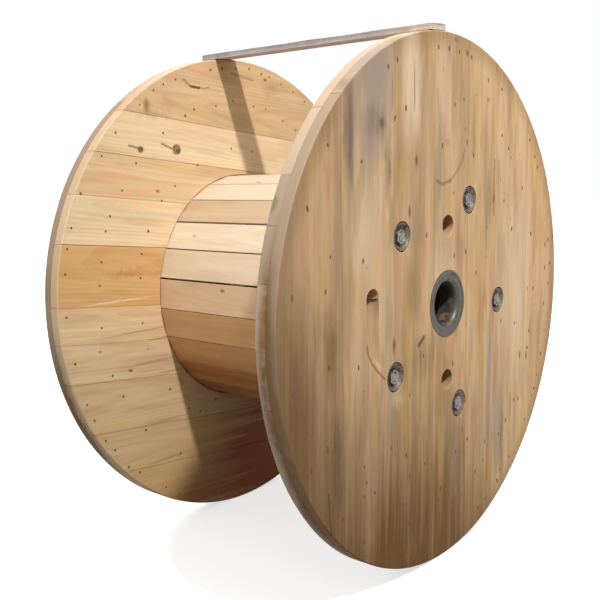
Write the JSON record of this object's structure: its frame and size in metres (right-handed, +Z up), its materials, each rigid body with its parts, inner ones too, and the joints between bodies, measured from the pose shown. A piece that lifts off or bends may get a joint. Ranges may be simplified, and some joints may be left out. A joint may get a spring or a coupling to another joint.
{
  "type": "wooden cable drum",
  "caption": "Empty wooden cable drum lying on its rims: two crossed-plank flanges, a staved barrel, steel spindle bushings, tie rods, a cable hole and a batten across the top.",
  "frame": {"origin": "on the floor under the middle of the drum as it lies on its rims", "axes": "+X along the drum's axis towards the flange with the cable hole, +Z up"},
  "size_m": [0.574, 1, 1.013],
  "materials": {
    "front_planks": "sawn softwood, weathered",
    "back_planks": "sawn softwood, weathered",
    "inner_planks": "planed softwood",
    "staves": "planed softwood",
    "batten": "rough sawn softwood",
    "bushing_steel": "dark, bare, worn bright in the bore",
    "fastener_steel": "dull zinc"
  },
  "bodies": {
    "root": {"back_bushing": "bushing_steel", "back_inner_plank_1": "inner_planks", "back_inner_plank_10": "inner_planks", "back_inner_plank_2": "inner_planks", "back_inner_plank_3": "inner_planks", "back_inner_plank_4": "inner_planks", "back_inner_plank_5": "inner_planks", "back_inner_plank_6": "inner_planks", "back_inner_plank_7": "inner_planks", "back_inner_plank_8": "inner_planks", "back_inner_plank_9": "inner_planks", "back_nut_1": "fastener_steel", "back_nut_2": "fastener_steel", "back_nut_3": "fastener_steel", "back_nut_4": "fastener_steel", "back_nut_5": "fastener_steel", "back_outer_plank_1": "back_planks", "back_outer_plank_2": "back_planks", "back_outer_plank_3": "back_planks", "back_outer_plank_4": "back_planks", "back_outer_plank_5": "back_planks", "back_outer_plank_6": "back_planks", "back_outer_plank_7": "back_planks", "back_washers": "fastener_steel", "barrel_staves": "staves", "front_bushing": "bushing_steel", "front_inner_plank_1": "inner_planks", "front_inner_plank_10": "inner_planks", "front_inner_plank_2": "inner_planks", "front_inner_plank_3": "inner_planks", "front_inner_plank_4": "inner_planks", "front_inner_plank_5": "inner_planks", "front_inner_plank_6": "inner_planks", "front_inner_plank_7": "inner_planks", "front_inner_plank_8": "inner_planks", "front_inner_plank_9": "inner_planks", "front_nut_1": "fastener_steel", "front_nut_2": "fastener_steel", "front_nut_3": "fastener_steel", "front_nut_4": "fastener_steel", "front_nut_5": "fastener_steel", "front_outer_plank_1": "front_planks", "front_outer_plank_2": "front_planks", "front_outer_plank_3": "front_planks", "front_outer_plank_4": "front_planks", "front_outer_plank_5": "front_planks", "front_outer_plank_6": "front_planks", "front_outer_plank_7": "front_planks", "front_washers": "fastener_steel", "tie_rod_1": "fastener_steel", "tie_rod_2": "fastener_steel", "tie_rod_3": "fastener_steel", "tie_rod_4": "fastener_steel", "tie_rod_5": "fastener_steel", "top_batten": "batten"}
  },
  "joints": []
}
